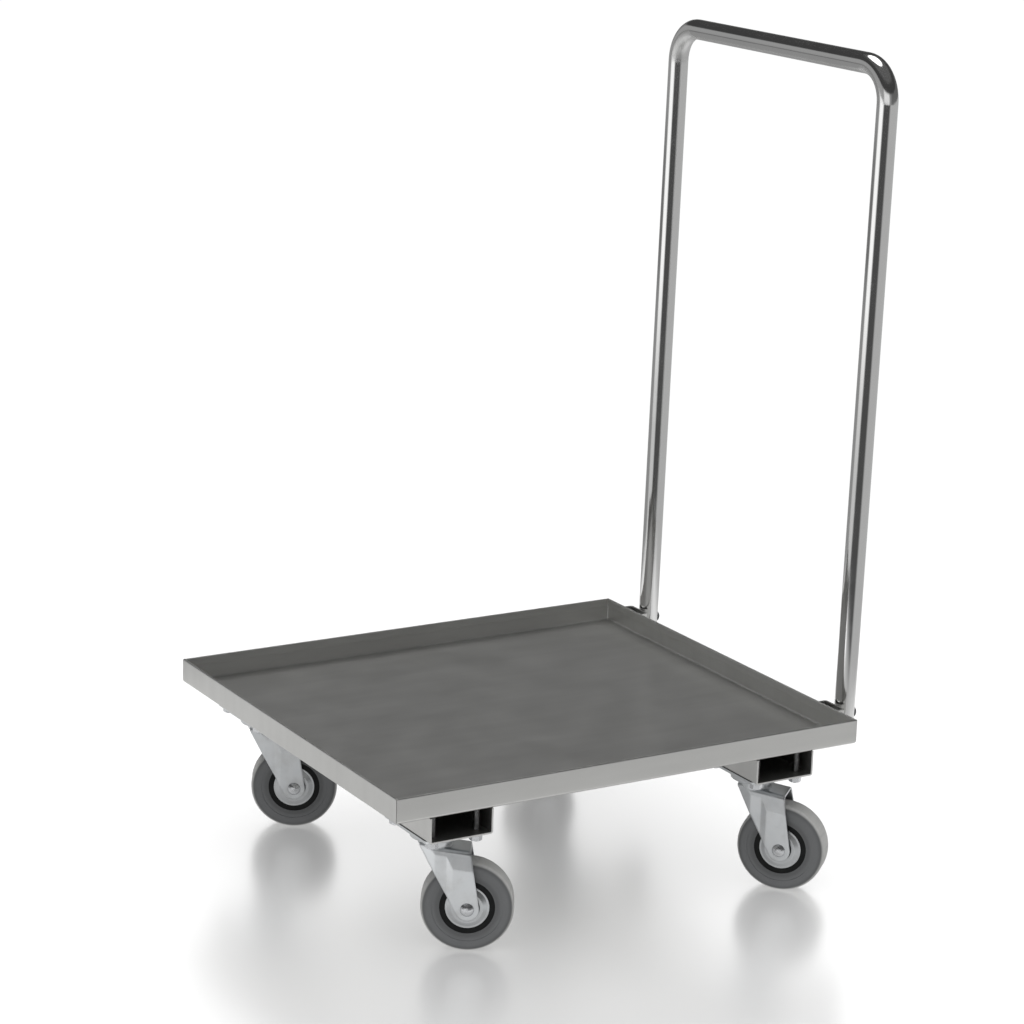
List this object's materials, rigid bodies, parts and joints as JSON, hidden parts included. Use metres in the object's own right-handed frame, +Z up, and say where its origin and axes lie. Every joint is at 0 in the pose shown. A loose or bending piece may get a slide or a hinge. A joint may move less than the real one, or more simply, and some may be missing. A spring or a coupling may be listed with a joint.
{
  "type": "kitchen transport trolley",
  "caption": "Low stainless platform trolley for dish racks: shallow rimmed tray on cross channels, swivel casters with grey rubber wheels, and a tall tube push handle.",
  "frame": {"origin": "middle of the tray floor's upper face, where the load stands", "axes": "+Z up, +Y towards the push handle, +X towards the long side that the picture shows; the ground lies 179.5 mm below the origin"},
  "size_m": [0.5714, 0.6692, 0.9829],
  "materials": {
    "stainless_sheet": "brushed stainless sheet",
    "polished_tube": "polished round tube",
    "zinc_steel": "bright zinc plated pressed steel",
    "fastener_steel": "zinc plated fasteners",
    "bearing_steel": "polished balls",
    "tyre_grey": "grey non-marking rubber",
    "black_plastic": "moulded black plastic",
    "bush_nylon": "black nylon bush"
  },
  "bodies": {
    "chassis": {"tray_pan": "stainless_sheet", "front_channel": "stainless_sheet", "rear_channel": "stainless_sheet", "handle_tube": "polished_tube", "handle_plugs": "black_plastic", "handle_bracket_left": "stainless_sheet", "handle_bracket_right": "stainless_sheet", "handle_bolts": "fastener_steel", "handle_nuts": "fastener_steel", "caster_studs": "fastener_steel", "caster_washers": "fastener_steel", "caster_nuts": "fastener_steel", "plate_fl": "zinc_steel", "kingpin_fl": "fastener_steel", "balls_fl": "bearing_steel", "plate_fr": "zinc_steel", "kingpin_fr": "fastener_steel", "balls_fr": "bearing_steel", "plate_rl": "zinc_steel", "kingpin_rl": "fastener_steel", "balls_rl": "bearing_steel", "plate_rr": "zinc_steel", "kingpin_rr": "fastener_steel", "balls_rr": "bearing_steel"},
    "caster_fl": {"fork_fl": "zinc_steel", "axle_bolt_fl": "fastener_steel", "axle_nut_fl": "fastener_steel", "axle_sleeve_fl": "fastener_steel"},
    "wheel_fl": {"tyre_fl": "tyre_grey", "wheel_core_fl": "black_plastic", "bushes_fl": "bush_nylon", "hub_discs_fl": "zinc_steel"},
    "caster_fr": {"fork_fr": "zinc_steel", "axle_bolt_fr": "fastener_steel", "axle_nut_fr": "fastener_steel", "axle_sleeve_fr": "fastener_steel"},
    "wheel_fr": {"tyre_fr": "tyre_grey", "wheel_core_fr": "black_plastic", "bushes_fr": "bush_nylon", "hub_discs_fr": "zinc_steel"},
    "caster_rl": {"fork_rl": "zinc_steel", "axle_bolt_rl": "fastener_steel", "axle_nut_rl": "fastener_steel", "axle_sleeve_rl": "fastener_steel"},
    "wheel_rl": {"tyre_rl": "tyre_grey", "wheel_core_rl": "black_plastic", "bushes_rl": "bush_nylon", "hub_discs_rl": "zinc_steel"},
    "caster_rr": {"fork_rr": "zinc_steel", "axle_bolt_rr": "fastener_steel", "axle_nut_rr": "fastener_steel", "axle_sleeve_rr": "fastener_steel"},
    "wheel_rr": {"tyre_rr": "tyre_grey", "wheel_core_rr": "black_plastic", "bushes_rr": "bush_nylon", "hub_discs_rr": "zinc_steel"}
  },
  "joints": [
    {"name": "swivel_fl", "type": "hinge", "parent": "chassis", "child": "caster_fl", "pos_m": [0.218, -0.227, -0.0315], "axis": [0, 0, 1], "continuous": true},
    {"name": "roll_fl", "type": "hinge", "parent": "caster_fl", "child": "wheel_fl", "pos_m": [0.23757, -0.19443, -0.1265], "axis": [0.8572, -0.515, 0], "continuous": true},
    {"name": "swivel_fr", "type": "hinge", "parent": "chassis", "child": "caster_fr", "pos_m": [-0.218, -0.227, -0.0315], "axis": [0, 0, 1], "continuous": true},
    {"name": "roll_fr", "type": "hinge", "parent": "caster_fr", "child": "wheel_fr", "pos_m": [-0.20016, -0.19345, -0.1265], "axis": [0.8829, -0.4695, 0], "continuous": true},
    {"name": "swivel_rl", "type": "hinge", "parent": "chassis", "child": "caster_rl", "pos_m": [0.218, 0.208, -0.0315], "axis": [0, 0, 1], "continuous": true},
    {"name": "roll_rl", "type": "hinge", "parent": "caster_rl", "child": "wheel_rl", "pos_m": [0.24624, 0.23343, -0.1265], "axis": [0.6691, -0.7431, 0], "continuous": true},
    {"name": "swivel_rr", "type": "hinge", "parent": "chassis", "child": "caster_rr", "pos_m": [-0.218, 0.208, -0.0315], "axis": [0, 0, 1], "continuous": true},
    {"name": "roll_rr", "type": "hinge", "parent": "caster_rr", "child": "wheel_rr", "pos_m": [-0.21075, 0.1707, -0.1265], "axis": [-0.9816, -0.1908, 0], "continuous": true}
  ]
}
